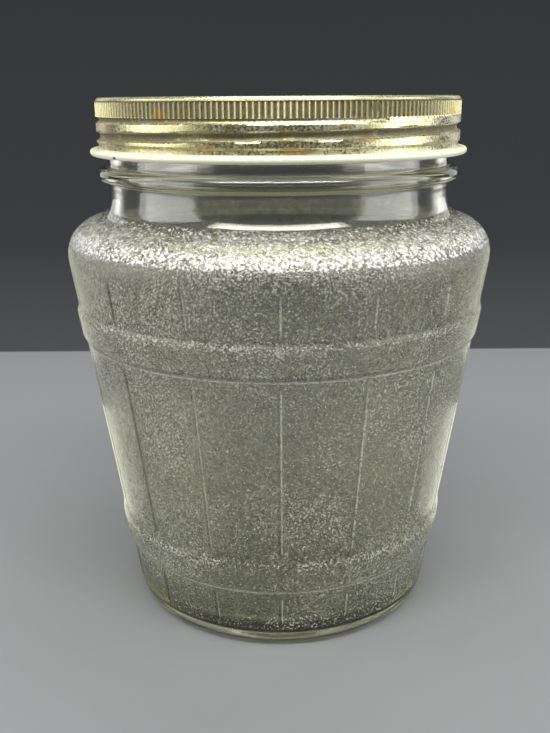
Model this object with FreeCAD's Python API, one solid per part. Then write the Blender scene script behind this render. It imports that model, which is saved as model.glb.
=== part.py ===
"""Clear glass canning jar shaped like a small barrel, with its threaded metal lid.

Millimetres, +Z up. The origin is the centre of the foot, on the surface the jar
stands on. The front of the jar faces -Y, and angles "from the front" grow
towards +X. Two pieces: the jar, one hollow glass solid, and the lid, one thin
sheet metal solid that lies on the rim.
"""
import FreeCAD, Part
import math
import os

V = FreeCAD.Vector
ORIGIN = V(0, 0, 0)
AXIS = V(0, 0, 1)

# ---------------------------------------------------------------- glass body
jar_height = 162.95          # height of the rim
wall = 3.2                   # thickness of the glass
base_corner_radius = 49.63   # where the side's line meets the ground
shoulder_corner_radius = 68.29   # where it meets the line of the shoulder's top
shoulder_drop = 37.85        # rim down to that corner
shoulder_angle = 12.4        # slope of the shoulder's top, degrees
shoulder_fillet = 10.5
neck_fillet = 7.0            # hollow curve between shoulder and neck
heel_fillet = 5.5            # rounding between foot and side
inner_heel_fillet = 9.0      # the same, inside
foot_width = 3.6             # flat ring that the jar stands on
foot_inner_fillet = 1.0
push_up = 1.8                # recess under the base, at its edge
push_up_slope = 3.0          # width of the slope up into the recess
push_up_dome = 1.6           # how much higher its middle is
base_thickness = 3.8         # glass over the recess

# ---------------------------------------------------------------- hoops and staves
hoop_rise = 0.85             # how far a hoop stands out of the side
hoop_height = 11.0
hoop_edge = 2.0              # height of a hoop's sloped edge
hoop_fillet = 1.6
lower_hoop_height = 20.8     # ground up to the lower hoop's lower edge
upper_hoop_drop = 34.5       # shoulder's corner down to the upper hoop's lower edge
stave_count = 16
stave_groove_depth = 0.35
stave_groove_section = 0.8   # radius of the groove's round section
stave_margin = 1.2           # plain glass between a groove's end and a hoop
stave_bottom_margin = 2.0    # and over the heel
stave_top_margin = 10.1      # shoulder's corner down to the highest grooves

# ---------------------------------------------------------------- neck and rim
neck_radius = 53.0
neck_wall = 3.6              # thickness of the glass at the neck
rim_fillet = 1.25
bead_rise = 3.3              # ring round the neck, under the lid
bead_height = 4.2
bead_drop = 21.95            # rim down to the bead's middle
bead_fillet = 1.9
bead_root_fillet = 0.8

# ---------------------------------------------------------------- thread
thread_pitch = 5.08
thread_front_angle = 31.0    # where the lid's groove starts, degrees from the front
thread_lead_in = 101.0       # its level part, degrees
thread_drop = 5.8            # top of the lid down to the level part
thread_end_gap = 1.07        # groove's lower end to the step in the skirt
groove_section = 1.25        # radius of the groove's round section
groove_depth = 1.1
groove_start_depth = 0.45
glass_thread_section = 1.3   # radius of the glass thread's round section
glass_thread_rise = 1.7      # its crest above the neck
glass_thread_turn = 360.0    # its length, degrees
thread_clearance = 0.85      # its crest to the inside of the skirt
path_step = 10.0             # spacing of a thread's points, degrees
quarter_angle = 12.0         # turn of the seams between the skirt's quarters, degrees

# ---------------------------------------------------------------- lid
sheet = 0.35                 # thickness of the metal
lid_gap = 3.5                # bead up to the lid's lower edge
lid_edge_fillet = 1.4
panel_margin = 2.9           # sunken middle of the top, in from the mouth
panel_recess = 0.6
panel_slope = 1.5            # width of the step down to it
band_seat_inset = 0.45       # sheet behind the knurled band, in from the skirt
band_flute_depth = 0.35      # the crests between its flutes are flush with the skirt
band_drop = 1.35             # top of the lid down to the band
band_height = 3.95
band_depth = 1.0             # metal behind the flutes' crests
band_flutes = 228
lower_skirt_inset = 0.5      # skirt below its step, in from the skirt above
lower_skirt_height = 3.9     # that step, above the lid's lower edge
skirt_fillet = 0.25
curl_width = 2.75            # rolled edge, out of the lower skirt
curl_thickness = 2.0
curl_slit = 0.3              # between the sheet's rolled end and the skirt

# ---------------------------------------------------------------- worked out
shoulder_corner_height = jar_height - shoulder_drop
side_slope = (shoulder_corner_radius - base_corner_radius) / shoulder_corner_height
side_angle = math.atan(side_slope)
shoulder_slope = math.tan(math.radians(shoulder_angle))
upper_hoop_height = shoulder_corner_height - upper_hoop_drop
mouth_radius = neck_radius - neck_wall
bead_radius = neck_radius + bead_rise
bead_low = jar_height - bead_drop - bead_height / 2
bead_high = bead_low + bead_height
thread_crest_radius = neck_radius + glass_thread_rise
lid_radius = thread_crest_radius + thread_clearance + sheet
band_seat_radius = lid_radius - band_seat_inset
band_root_radius = lid_radius - band_flute_depth
lower_skirt_radius = lid_radius - lower_skirt_inset
curl_radius = lower_skirt_radius + curl_width
panel_radius = mouth_radius - panel_margin
lid_top = jar_height + sheet                 # the lid's underside lies on the rim
curl_low = bead_high + lid_gap
step_height = curl_low + lower_skirt_height
band_top = lid_top - band_drop
band_low = band_top - band_height
thread_height = lid_top - thread_drop
thread_fall = (thread_height - step_height - thread_end_gap) / thread_pitch * 360
fall_start_angle = thread_front_angle - thread_lead_in


def point(radius, height):
    return V(radius, 0, height)


def around(radius, degrees, height):
    """Point at an angle from the front of the jar."""
    angle = math.radians(degrees)
    return V(radius * math.sin(angle), -radius * math.cos(angle), height)


def side_radius(height):
    """Outside of the straight side, hoops left out."""
    return base_corner_radius + side_slope * height


def shoulder_height(radius):
    """Height of the shoulder's sloped top."""
    return shoulder_corner_height + (shoulder_corner_radius - radius) * shoulder_slope


# ---------------------------------------------------------------- outlines
def corner_setbacks(points, fillets):
    """How far from each corner its arc starts, cut down where a side is too short."""
    count = len(points)
    wanted = []
    for i in range(count):
        back = points[i - 1] - points[i]
        ahead = points[(i + 1) % count] - points[i]
        wanted.append(fillets[i] / math.tan(back.getAngle(ahead) / 2))
    shares = []
    for i in range(count):
        pair = wanted[i] + wanted[(i + 1) % count]
        room = (points[(i + 1) % count] - points[i]).Length
        shares.append(min(1.0, room / pair) if pair > 0 else 1.0)
    return [wanted[i] * min(shares[i - 1], shares[i]) for i in range(count)]


def rounded_outline(corners):
    """Closed wire through (radius, height, fillet) corners, with its fillets as arcs."""
    count = len(corners)
    points = [point(radius, height) for radius, height, _ in corners]
    setbacks = corner_setbacks(points, [fillet for _, _, fillet in corners])
    edges = []
    starts = []
    ends = []
    for i in range(count):
        back = (points[i - 1] - points[i]).normalize()
        ahead = (points[(i + 1) % count] - points[i]).normalize()
        starts.append(points[i] + back * setbacks[i])
        ends.append(points[i] + ahead * setbacks[i])
    for i in range(count):
        after = (i + 1) % count
        if setbacks[i] > 0:
            back = (starts[i] - points[i]).normalize()
            ahead = (ends[i] - points[i]).normalize()
            half = back.getAngle(ahead) / 2
            radius = setbacks[i] * math.tan(half)
            inward = (back + ahead).normalize()
            middle = points[i] + inward * (radius / math.sin(half) - radius)
            edges.append(Part.Arc(starts[i], middle, ends[i]).toShape())
        if (starts[after] - ends[i]).Length > 1e-6:
            edges.append(Part.makeLine(ends[i], starts[after]))
    return Part.Wire(edges)


def turned(corners):
    """Solid of revolution of a rounded outline about the jar's axis."""
    return Part.Face(rounded_outline(corners)).revolve(ORIGIN, AXIS, 360)


def turned_in_quarters(corners):
    """The same solid with each face in four, which keeps faces cut by a thread short."""
    face = Part.Face(rounded_outline(corners))
    quarters = []
    for index in range(4):
        quarter = face.revolve(ORIGIN, AXIS, 90)
        quarter.rotate(ORIGIN, AXIS, 90 * index + quarter_angle)
        quarters.append(quarter)
    return quarters[0].fuse(quarters[1:])


def swept_round(points, section):
    """Round bar of the given section radius along a smooth path of points."""
    curve = Part.BSplineCurve()
    curve.interpolate(points)
    path = Part.Wire(curve.toShape())
    start_direction = curve.tangent(curve.FirstParameter)[0]
    circle = Part.Wire(Part.makeCircle(section, points[0], start_direction))
    shell = Part.BRepOffsetAPI.MakePipeShell(path)
    shell.setBiNormalMode(AXIS)
    shell.add(circle)
    shell.build()
    shell.makeSolid()
    return shell.shape()


# ---------------------------------------------------------------- jar
def hoop_corners(low):
    """Outline of one hoop whose lower edge is at the height low."""
    high = low + hoop_height
    crest_low = low + hoop_edge
    crest_high = high - hoop_edge
    return [
        (side_radius(low), low, hoop_fillet),
        (side_radius(crest_low) + hoop_rise, crest_low, hoop_fillet),
        (side_radius(crest_high) + hoop_rise, crest_high, hoop_fillet),
        (side_radius(high), high, hoop_fillet),
    ]


def glass_outside():
    """The jar as if it were solid, with the recess under its base."""
    foot_radius = base_corner_radius - heel_fillet * math.tan(math.pi / 4 - side_angle / 2)
    recess_radius = foot_radius - foot_width
    corners = [
        (0, push_up + push_up_dome, 0),
        (recess_radius - push_up_slope, push_up, push_up_slope),
        (recess_radius, 0, foot_inner_fillet),
        (base_corner_radius, 0, heel_fillet),
    ]
    corners += hoop_corners(lower_hoop_height)
    corners += hoop_corners(upper_hoop_height)
    corners += [
        (shoulder_corner_radius, shoulder_corner_height, shoulder_fillet),
        (neck_radius, shoulder_height(neck_radius), neck_fillet),
        (neck_radius, bead_low, bead_root_fillet),
        (bead_radius, bead_low, bead_fillet),
        (bead_radius, bead_high, bead_fillet),
        (neck_radius, bead_high, bead_root_fillet),
        (neck_radius, jar_height, rim_fillet),
        (0, jar_height, 0),
    ]
    return turned(corners)


def glass_inside():
    """The space inside the jar, open at the mouth."""
    floor = push_up + base_thickness
    side_shift = wall / math.cos(side_angle)
    top_shift = wall / math.cos(math.radians(shoulder_angle))
    axis_height = shoulder_height(0) - top_shift
    corner_radius = ((base_corner_radius - side_shift + side_slope * axis_height)
                     / (1 + side_slope * shoulder_slope))
    corner_height = axis_height - shoulder_slope * corner_radius
    corners = [
        (0, floor + push_up_dome, 0),
        (side_radius(floor) - side_shift, floor, inner_heel_fillet),
        (corner_radius, corner_height, shoulder_fillet - wall),
        (mouth_radius, axis_height - shoulder_slope * mouth_radius, neck_fillet + wall),
        (mouth_radius, jar_height - rim_fillet, 0),
        (mouth_radius + rim_fillet, jar_height, 0),
        (mouth_radius + rim_fillet, jar_height + wall, 0),
        (0, jar_height + wall, 0),
    ]
    return turned(corners)


def stave_spans():
    """Lower and upper end of the grooves between the staves, one pair for each belt."""
    return [
        (heel_fillet + stave_bottom_margin, lower_hoop_height - stave_margin),
        (lower_hoop_height + hoop_height + stave_margin, upper_hoop_height - stave_margin),
        (upper_hoop_height + hoop_height + stave_margin,
         shoulder_corner_height - stave_top_margin),
    ]


def stave_grooves():
    """Round bars that cut the shallow upright grooves between the staves."""
    outset = stave_groove_section - stave_groove_depth
    bars = []
    for low, high in stave_spans():
        foot = point(side_radius(low) + outset, low)
        top = point(side_radius(high) + outset, high)
        bar = Part.makeCylinder(stave_groove_section, (top - foot).Length, foot, top - foot)
        for index in range(stave_count):
            turned_bar = bar.copy()
            turned_bar.rotate(ORIGIN, AXIS, index * 360 / stave_count - 90)
            bars.append(turned_bar)
    return bars


def glass_thread():
    """One turn of rounded thread, half a pitch above the lid's groove."""
    middle_radius = thread_crest_radius - glass_thread_section
    points = []
    steps = round(glass_thread_turn / path_step)
    for index in range(steps + 1):
        turn = glass_thread_turn * index / steps
        height = thread_height + thread_pitch * (0.5 - turn / 360)
        points.append(around(middle_radius, fall_start_angle - turn, height))
    return swept_round(points, glass_thread_section)


def make_jar():
    body = glass_outside().cut(glass_inside())
    body = body.cut(stave_grooves())
    return body.fuse(glass_thread())


# ---------------------------------------------------------------- lid
def groove_path():
    """Middle of the lid's groove: level at first and growing deeper, then falling."""
    length = thread_lead_in + thread_fall
    steps = round(length / path_step)
    points = []
    for index in range(steps + 1):
        turn = length * index / steps
        fall = max(0.0, turn - thread_lead_in)
        grown = min(1.0, turn / thread_lead_in)
        depth = groove_start_depth + (groove_depth - groove_start_depth) * grown
        radius = lid_radius + groove_section - depth
        height = thread_height - thread_pitch * fall / 360
        points.append(around(radius, thread_front_angle - turn, height))
    return points


def lid_outside():
    """The lid as if it were solid, down to the top of its curl, without the band."""
    edge_low = curl_low + curl_thickness + skirt_fillet
    corners = [
        (0, lid_top - panel_recess, 0),
        (panel_radius, lid_top - panel_recess, 0),
        (panel_radius + panel_slope, lid_top, 0),
        (band_seat_radius, lid_top, lid_edge_fillet),
        (band_seat_radius, band_low, 0),
        (lid_radius, band_low, 0),
        (lid_radius, step_height, skirt_fillet),
        (lower_skirt_radius, step_height - skirt_fillet * 2, skirt_fillet),
        (lower_skirt_radius, edge_low, 0),
        (0, edge_low, 0),
    ]
    return turned_in_quarters(corners)


def lid_inside():
    """The space under the lid, a sheet's thickness inside its outline."""
    shift = sheet * math.tan(math.atan(panel_recess / panel_slope) / 2)
    low = curl_low - wall
    corners = [
        (0, jar_height - panel_recess, 0),
        (panel_radius + shift, jar_height - panel_recess, 0),
        (panel_radius + panel_slope + shift, jar_height, 0),
        (band_seat_radius - sheet, jar_height, lid_edge_fillet - sheet),
        (band_seat_radius - sheet, band_low - sheet, 0),
        (lid_radius - sheet, band_low - sheet, 0),
        (lid_radius - sheet, step_height, skirt_fillet),
        (lower_skirt_radius - sheet, step_height - skirt_fillet * 2, skirt_fillet),
        (lower_skirt_radius - sheet, low, 0),
        (0, low, 0),
    ]
    return turned_in_quarters(corners)


def knurled_band():
    """Ring of flutes pressed round the top of the skirt."""
    corners = []
    for index in range(band_flutes):
        corners.append(around(lid_radius, index * 360 / band_flutes, band_low))
        corners.append(around(band_root_radius, (index + 0.5) * 360 / band_flutes, band_low))
    corners.append(corners[0])
    prism = Part.Face(Part.makePolygon(corners)).extrude(V(0, 0, band_height))
    core_radius = lid_radius - band_depth
    return prism.cut(Part.makeCylinder(core_radius, band_height, V(0, 0, band_low)))


def rolled_curl():
    """Foot of the skirt: the sheet turns outward, up and back in, round a hollow."""
    inside = lower_skirt_radius - sheet
    high = curl_low + curl_thickness
    top = high + skirt_fillet
    turn = curl_thickness / 2
    corners = [
        (inside, top, 0),
        (inside, curl_low, turn),
        (curl_radius, curl_low, turn),
        (curl_radius, high, turn),
        (lower_skirt_radius + curl_slit, high, 0),
        (lower_skirt_radius + curl_slit, high - sheet, 0),
        (curl_radius - sheet, high - sheet, turn - sheet),
        (curl_radius - sheet, curl_low + sheet, turn - sheet),
        (lower_skirt_radius, curl_low + sheet, turn - sheet),
        (lower_skirt_radius, top, 0),
    ]
    return turned(corners)


def make_lid():
    path = groove_path()
    channel = swept_round(path, groove_section)
    rib = swept_round(path, groove_section + sheet)
    shell = lid_outside().cut(channel)
    shell = shell.fuse(knurled_band())
    shell = shell.cut(lid_inside().cut(rib))
    return shell.fuse(rolled_curl())


def main():
    os.makedirs("parts", exist_ok=True)
    pieces = {"jar": make_jar(), "lid": make_lid()}
    for name, shape in pieces.items():
        solids = shape.Solids
        print(name, "solids", len(solids), "valid", shape.isValid(), "volume", round(shape.Volume))
        box = shape.BoundBox
        print("  box", [round(v, 2) for v in (box.XMin, box.YMin, box.ZMin, box.XMax, box.YMax, box.ZMax)])
        if len(solids) != 1:
            raise ValueError(name + " is not one solid")
        solids[0].exportStep("parts/" + name + ".step")


main()
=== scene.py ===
"""A clear barrel-shaped canning jar with its threaded metal lid, dressed around the fixed model.

Laid out as an add-on: the operators make the glass, the lid's sheet, the lid's rolled
edge and the stage. Lengths are metres. The front of the jar faces -Y, and angles
"from the front" grow towards +X.
"""
import functools
import math

import bpy
from bpy.props import FloatProperty, FloatVectorProperty, IntProperty, PointerProperty
from mathutils import Matrix, Vector


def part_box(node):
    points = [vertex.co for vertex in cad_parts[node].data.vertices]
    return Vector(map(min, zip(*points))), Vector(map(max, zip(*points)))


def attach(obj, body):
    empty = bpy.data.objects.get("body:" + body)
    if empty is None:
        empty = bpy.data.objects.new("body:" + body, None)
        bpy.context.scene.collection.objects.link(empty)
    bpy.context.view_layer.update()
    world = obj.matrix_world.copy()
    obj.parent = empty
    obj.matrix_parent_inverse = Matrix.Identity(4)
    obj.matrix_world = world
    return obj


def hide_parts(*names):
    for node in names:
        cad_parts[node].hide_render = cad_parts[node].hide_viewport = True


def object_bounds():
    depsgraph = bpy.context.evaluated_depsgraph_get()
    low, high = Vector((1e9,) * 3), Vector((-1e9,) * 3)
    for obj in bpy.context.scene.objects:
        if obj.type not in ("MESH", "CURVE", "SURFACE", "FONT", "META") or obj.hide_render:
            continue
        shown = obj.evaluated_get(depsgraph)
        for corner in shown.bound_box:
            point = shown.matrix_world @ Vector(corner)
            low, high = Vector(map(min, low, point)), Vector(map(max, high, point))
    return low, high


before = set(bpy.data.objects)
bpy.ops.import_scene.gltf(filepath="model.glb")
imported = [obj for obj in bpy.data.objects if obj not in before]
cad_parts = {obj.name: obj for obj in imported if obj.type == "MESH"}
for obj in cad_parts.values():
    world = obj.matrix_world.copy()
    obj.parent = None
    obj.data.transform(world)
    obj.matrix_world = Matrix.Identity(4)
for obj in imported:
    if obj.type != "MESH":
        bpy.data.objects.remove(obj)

bl_info = {
    "name": "Barrel Canning Jar",
    "version": (1, 0, 0),
    "blender": (4, 5, 0),
    "location": "View3D > Sidebar > Jar",
    "description": "Makes a pebbled glass barrel jar and its threaded metal lid",
    "category": "Add Mesh",
}

MM = 0.001
TURN = 2 * math.pi
CAD_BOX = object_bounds()
JAR_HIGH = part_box("jar")[1]
LID_LOW, LID_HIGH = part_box("lid")


def mm(*values):
    """Lengths in metres, given in millimetres."""
    return tuple(value * MM for value in values)


def length(name, description, default):
    """A size in metres, given in millimetres."""
    return FloatProperty(name=name, description=description, default=default * MM,
                         min=0.0, precision=5, unit="LENGTH", subtype="DISTANCE")


def degrees(name, description, default):
    return FloatProperty(name=name, description=description, default=math.radians(default),
                         unit="ROTATION", subtype="ANGLE")


def colour(name, description, default):
    return FloatVectorProperty(name=name, description=description, default=default,
                               min=0.0, max=1.0, size=4, subtype="COLOR")


# ---------------------------------------------------------------- settings
class JarGlassSettings(bpy.types.PropertyGroup):
    wall: length("Wall", "Thickness of the glass", 3.2)
    base_corner: length("Base corner", "Radius where the side's line meets the ground", 49.63)
    shoulder_corner: length("Shoulder corner", "Radius where side and shoulder lines meet", 68.29)
    shoulder_drop: length("Shoulder drop", "Rim down to that corner", 37.85)
    shoulder_angle: degrees("Shoulder angle", "Slope of the shoulder's top", 12.4)
    shoulder_fillet: length("Shoulder fillet", "Rounding of the shoulder", 10.5)
    neck_fillet: length("Neck fillet", "Hollow curve between shoulder and neck", 7.0)
    heel_fillet: length("Heel fillet", "Rounding between foot and side", 5.5)
    inner_heel_fillet: length("Inner heel", "The same, inside", 9.0)
    foot_width: length("Foot width", "Flat ring that the jar stands on", 3.6)
    foot_inner_fillet: length("Foot inner fillet", "Rounding inside the foot ring", 1.0)
    push_up: length("Push-up", "Recess under the base, at its edge", 1.8)
    push_up_slope: length("Push-up slope", "Width of the slope up into the recess", 3.0)
    push_up_dome: length("Push-up dome", "How much higher its middle is", 1.6)
    base_thickness: length("Base thickness", "Glass over the recess", 3.8)
    hoop_rise: length("Hoop rise", "How far a hoop stands out of the side", 0.85)
    hoop_height: length("Hoop height", "Height of each hoop", 11.0)
    hoop_edge: length("Hoop edge", "Height of a hoop's sloped edge", 2.0)
    hoop_fillet: length("Hoop fillet", "Rounding of a hoop's edges", 1.6)
    lower_hoop: length("Lower hoop", "Ground up to the lower hoop", 20.8)
    upper_hoop_drop: length("Upper hoop drop", "Shoulder corner down to the upper hoop", 34.5)
    staves: IntProperty(name="Staves", description="Staves round the jar", default=16, min=3)
    groove_depth: length("Groove depth", "Depth of the grooves between staves", 0.35)
    groove_width: length("Groove width", "Width of the grooves between staves", 1.1)
    groove_margin: length("Groove margin", "Plain glass between a groove and a hoop", 1.2)
    groove_bottom: length("Groove bottom", "Plain glass between heel and grooves", 2.0)
    groove_top: length("Groove top", "Shoulder corner down to the highest grooves", 10.1)
    neck: length("Neck", "Radius of the neck", 53.0)
    neck_wall: length("Neck wall", "Thickness of the glass at the neck", 3.6)
    rim_fillet: length("Rim fillet", "Rounding of the rim", 1.25)
    bead_rise: length("Bead rise", "How far the ring round the neck stands out", 3.3)
    bead_height: length("Bead height", "Height of that ring", 4.2)
    bead_drop: length("Bead drop", "Rim down to the ring's middle", 21.95)
    bead_fillet: length("Bead fillet", "Rounding of the ring", 1.9)
    bead_root: length("Bead root", "Rounding where the ring meets the neck", 0.8)
    thread_drop: length("Thread drop", "Rim down to the start of the glass thread", 2.91)
    thread_angle: degrees("Thread angle", "Start of the glass thread, from the front", -70.0)
    thread_pitch: length("Thread pitch", "Pitch of the glass thread", 5.08)
    thread_rise: length("Thread rise", "Crest of the glass thread, out of the neck", 1.7)
    thread_section: length("Thread section", "Radius of its round section", 1.3)
    pebble_low: length("Pebble low", "Lower edge of the pebbled glass", 6.5)
    pebble_drop: length("Pebble drop", "Rim down to the pebbled glass's upper edge", 34.6)
    pebble_size: length("Pebble size", "Spacing of the pebbles", 0.55)
    # the drops are painted glints: white marks with no relief of their own
    glint_drop_size: length("Drop size", "Spacing of the larger pebbles on the shoulder", 0.85)
    pebble_depth: length("Pebble depth", "Relief of the pebbles", 0.13)
    ripple: length("Ripple", "Unevenness of the inside of the blown glass", 0.20)
    ripple_size: length("Ripple size", "Width of that unevenness", 17.0)
    seed: IntProperty(name="Seed", description="Seed of the unevenness", default=7)
    tint: colour("Tint", "Colour that long paths through the glass take",
                 (0.955, 0.975, 0.66, 1.0))
    tint_density: FloatProperty(name="Tint density", description="Strength of the tint, per metre",
                                default=34.0, min=0.0)


class JarLidSettings(bpy.types.PropertyGroup):
    sheet: length("Sheet", "Thickness of the metal", 0.35)
    skirt_inset: length("Skirt inset", "Rolled edge in to the outside of the skirt", 2.25)
    edge_inset: length("Edge inset", "Rounded top edge, in from the skirt", 0.35)
    edge_fillet: length("Edge fillet", "Rounding of the top edge", 1.0)
    panel_inset: length("Panel inset", "Rolled edge in to the sunken panel", 11.65)
    panel_recess: length("Panel recess", "Depth of the sunken panel", 0.6)
    panel_slope: length("Panel slope", "Width of the step down to it", 1.5)
    band_drop: length("Band drop", "Top of the lid down to the knurled band", 0.95)
    band_height: length("Band height", "Height of the knurled band", 4.35)
    flute_depth: length("Flute depth", "Depth of the flutes", 0.36)
    top_room: length("Top room", "Room above the top for its unevenness", 0.02)
    flutes: IntProperty(name="Flutes", description="Flutes round the band", default=228, min=12)
    step_height: length("Step height", "Lower edge up to the step in the skirt", 3.9)
    step_inset: length("Step inset", "Skirt below the step, in from the skirt above", 0.5)
    skirt_fillet: length("Skirt fillet", "Rounding of that step", 0.25)
    pitch: length("Pitch", "Pitch of the thread", 5.08)
    thread_angle: degrees("Thread angle", "Start of the thread's groove, from the front", 31.0)
    lead_in: degrees("Lead-in", "Level part of the groove", 101.0)
    thread_drop: length("Thread drop", "Top of the lid down to the level part", 5.8)
    thread_end: length("Thread end", "Groove's lower end to the step in the skirt", 1.07)
    groove_section: length("Groove section", "Radius of the groove's round section", 1.25)
    groove_depth: length("Groove depth", "Depth of the thread's groove", 1.1)
    groove_start: length("Groove start", "Depth of the groove where it starts", 0.45)
    curl_thickness: length("Curl thickness", "Thickness of the rolled edge", 2.0)
    curl_slit: length("Curl slit", "Between the rolled end and the skirt", 0.3)
    lacquer: colour("Lacquer", "Gold lacquer", (0.42, 0.385, 0.21, 1.0))
    tin: colour("Tin", "Bare tin where the lacquer has gone", (0.73, 0.715, 0.53, 1.0))
    rust: colour("Rust", "Rust in the grooves", (0.075, 0.060, 0.025, 1.0))
    stain: colour("Stain", "Orange stains", (0.48, 0.25, 0.05, 1.0))
    enamel: colour("Enamel", "Cream enamel of the edge and the inside", (0.93, 0.93, 0.71, 1.0))


class JarStageSettings(bpy.types.PropertyGroup):
    floor: colour("Floor", "Colour of the floor", (0.265, 0.27, 0.275, 1.0))
    backdrop: colour("Backdrop", "Colour of the backdrop", (0.07, 0.074, 0.078, 1.0))
    floor_reach: length("Floor reach", "Jar to each edge of the pale square of floor", 283.0)
    bowl_radius: length("Bowl radius", "Radius of the backdrop's wall", 1150.0)
    bowl_height: length("Bowl height", "Height of the backdrop's wall", 700.0)
    camera_distance: length("Camera distance", "Jar's axis to the camera, level", 279.93)
    camera_height: length("Camera height", "Height of the camera", 162.34)
    camera_pitch: degrees("Camera pitch", "How far the camera looks down", 17.194)
    camera_roll: degrees("Camera roll", "Roll of the camera", -0.385)
    lens: FloatProperty(name="Lens", description="Focal length", default=42.355, unit="CAMERA")
    shift: FloatProperty(name="Shift", description="Sideways shift of the lens", default=-0.00666)


# ---------------------------------------------------------------- node arithmetic
class Field:
    """A number in a node tree, so that a rule reads as ordinary arithmetic."""

    def __init__(self, tree, socket):
        self.tree = tree
        self.socket = socket

    def math(self, operation, *values):
        made = node(self.tree, "ShaderNodeMath", enumerate(values), operation=operation)
        return Field(self.tree, made.outputs[0])

    def __add__(self, other):
        return self.math("ADD", self, other)

    def __sub__(self, other):
        return self.math("SUBTRACT", self, other)

    def __rsub__(self, other):
        return self.math("SUBTRACT", other, self)

    def __mul__(self, other):
        return self.math("MULTIPLY", self, other)

    def __truediv__(self, other):
        return self.math("DIVIDE", self, other)

    def __rtruediv__(self, other):
        return self.math("DIVIDE", other, self)

    __radd__ = __add__
    __rmul__ = __mul__

    def sin(self):
        return self.math("SINE", self)

    def cos(self):
        return self.math("COSINE", self)

    def abs(self):
        return self.math("ABSOLUTE", self)

    def sqrt(self):
        return self.math("SQRT", self)

    def floor(self):
        return self.math("FLOOR", self)

    def least(self, other):
        return self.math("MINIMUM", self, other)

    def most(self, other):
        return self.math("MAXIMUM", self, other)

    def above(self, other):
        return self.math("GREATER_THAN", self, other)

    def wrapped(self, span):
        """The value brought into 0 to span by whole spans."""
        return self - (self / span).floor() * span

    def ramp(self, low, high):
        """0 below low, 1 above high and a smooth rise between them."""
        made = node(self.tree, "ShaderNodeMapRange",
                    {"Value": self, "From Min": low, "From Max": high},
                    interpolation_type="SMOOTHSTEP")
        return Field(self.tree, made.outputs["Result"])

    def band(self, rise, fall):
        """1 from the end of the span rise to the start of the span fall, 0 outside both."""
        return self.ramp(*rise) * (1.0 - self.ramp(*fall))

    def near(self, middle, core, reach):
        """1 up to core away from a value, 0 from reach away."""
        return 1.0 - (self - middle).abs().ramp(core, reach)


def feed(tree, value, socket):
    """Links a field or a socket, or sets a plain value."""
    if isinstance(value, Field):
        tree.links.new(value.socket, socket)
    elif isinstance(value, bpy.types.NodeSocket):
        tree.links.new(value, socket)
    else:
        socket.default_value = value


def node(tree, kind, inputs=(), **settings):
    """A node of a kind, with its settings made and its inputs fed."""
    made = tree.nodes.new(kind)
    for name, value in settings.items():
        setattr(made, name, value)
    for name, value in dict(inputs).items():
        feed(tree, value, made.inputs[name])
    return made


def parts_of(tree, vector):
    """The X, Y and Z of a vector socket as fields."""
    made = node(tree, "ShaderNodeSeparateXYZ", {"Vector": vector})
    return [Field(tree, output) for output in made.outputs]


def vector_of(tree, x, y, z):
    return node(tree, "ShaderNodeCombineXYZ", {"X": x, "Y": y, "Z": z}).outputs[0]


def turned_from_front(x, y):
    """Angle of a point about the axis, from the front."""
    return x.math("ARCTAN2", x, y * -1.0)


# ---------------------------------------------------------------- outlines
class Outline:
    """A turned shape's outline, from its corners.

    A corner is its radius, height and fillet, then the spacing in millimetres and the
    kind of the straight that follows it. arc_step is the most that a fillet turns
    from one point to the next, in degrees.
    """

    def __init__(self, corners, arc_step=15.0):
        self.arc_step = math.radians(arc_step)
        self.corners = [(Vector((radius, 0, height)), fillet, spacing * MM, kind)
                        for radius, height, fillet, spacing, kind in corners]

    def points(self):
        """(point, kind) pairs from the first corner to the last, fillets as arcs."""
        made = []
        last = len(self.corners) - 1
        before = None
        for index, (corner, fillet, step, kind) in enumerate(self.corners):
            arc = self.arc(index) if 0 < index < last and fillet > 0 else [corner]
            if before:
                start, spacing, run = before
                made += [(point, run) for point in between(start, arc[0], spacing)]
            made += [(point, kind) for point in arc]
            before = (arc[-1], step, kind)
        return made

    def arc(self, index):
        corner, fillet, _, _ = self.corners[index]
        back = (self.corners[index - 1][0] - corner).normalized()
        ahead = (self.corners[index + 1][0] - corner).normalized()
        half = back.angle(ahead) / 2
        setback = fillet / math.tan(half)
        centre = corner + (back + ahead).normalized() * (fillet / math.sin(half))
        first = corner + back * setback - centre
        last = corner + ahead * setback - centre
        turn = math.pi - 2 * half
        count = max(2, math.ceil(turn / self.arc_step))
        return [centre + slerp(first, last, turn, i / count) for i in range(count + 1)]


def slerp(first, last, turn, amount):
    """The spoke of an arc a share of the way from first to last."""
    before = first * math.sin((1 - amount) * turn)
    return (before + last * math.sin(amount * turn)) / math.sin(turn)


def between(first, last, step):
    """Points that divide a straight into steps, its ends left out."""
    count = max(1, round((last - first).length / step))
    return [first.lerp(last, i / count) for i in range(1, count)]


def outline_object(name, outline, weights):
    """The outline as a chain of edges whose points carry named weights."""
    mesh = bpy.data.meshes.new(name)
    edges = [(i, i + 1) for i in range(len(outline) - 1)]
    mesh.from_pydata([tuple(point) for point, _ in outline], edges, [])
    for key, values in weights.items():
        layer = mesh.attributes.new(key, "FLOAT", "POINT")
        layer.data.foreach_set("value", values)
    holder = bpy.data.objects.new(name, mesh)
    bpy.context.collection.objects.link(holder)
    return holder


# ---------------------------------------------------------------- turning tree
SHARP_ANGLE = math.radians(50)  # folds sharper than this stay crisp
MERGE_DISTANCE = 0.001 * MM     # closes the seam and the poles


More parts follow.
